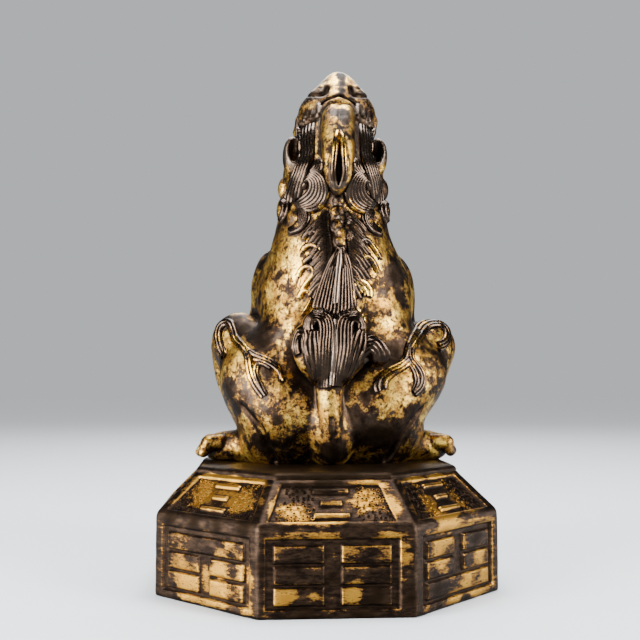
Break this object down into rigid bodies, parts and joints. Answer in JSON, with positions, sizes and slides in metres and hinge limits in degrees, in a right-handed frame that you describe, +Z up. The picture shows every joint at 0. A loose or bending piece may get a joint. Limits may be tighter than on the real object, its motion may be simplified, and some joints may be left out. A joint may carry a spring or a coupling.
{
  "type": "pixiu figure",
  "caption": "Squatting single-horned pixiu with its head thrown back, a scrolled tail tuft and gilded bronze skin, on an octagonal trigram plinth.",
  "frame": {"origin": "centre of the plinth's underside, on the floor", "axes": "+Z up, +Y the way the beast faces, +X to the beast's right, so its back and tail look along -Y"},
  "size_m": [0.0924, 0.0924, 0.1507],
  "materials": {
    "plinth_bronze": "worn gilding in streaks over dark brown bronze",
    "figure_bronze": "grainy worn gilding over dark brown bronze, polished on high places"
  },
  "bodies": {
    "root": {"plinth": "plinth_bronze", "pixiu_figure": "figure_bronze"}
  },
  "joints": []
}
